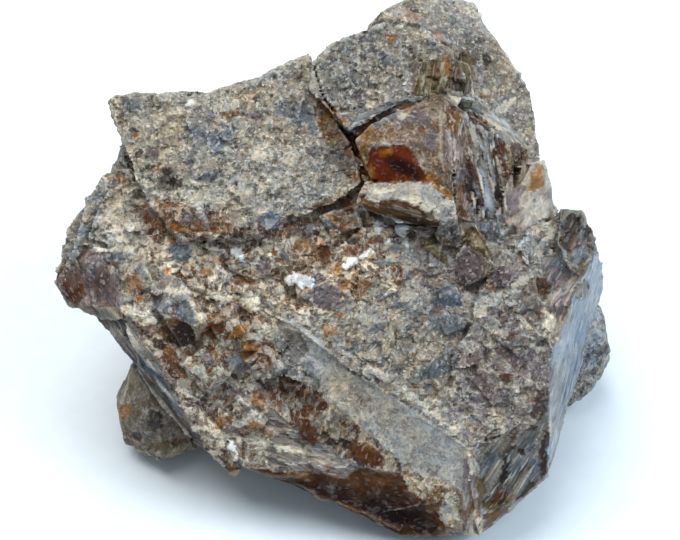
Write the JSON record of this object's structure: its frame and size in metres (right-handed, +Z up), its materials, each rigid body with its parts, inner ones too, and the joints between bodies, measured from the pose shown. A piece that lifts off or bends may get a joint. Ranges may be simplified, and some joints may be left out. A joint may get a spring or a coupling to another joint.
{
  "type": "mineral specimen",
  "caption": "Rough hand specimen of massive vesuvianite: a broken granular face leaning back, with a resinous brown crystal block, a thin blade and steps, on a rounded back.",
  "frame": {"origin": "below the middle of the bounding box, on the resting plane", "axes": "+Z up; the broad broken face leans back and looks towards -Y and +Z; +X to the right of that face"},
  "size_m": [0.0844, 0.075, 0.0555],
  "materials": {
    "vesuvianite": "rough broken surface, grey to tan grains with glossy resinous brown crystals"
  },
  "bodies": {
    "root": {"vesuvianite_rock": "vesuvianite"}
  },
  "joints": []
}
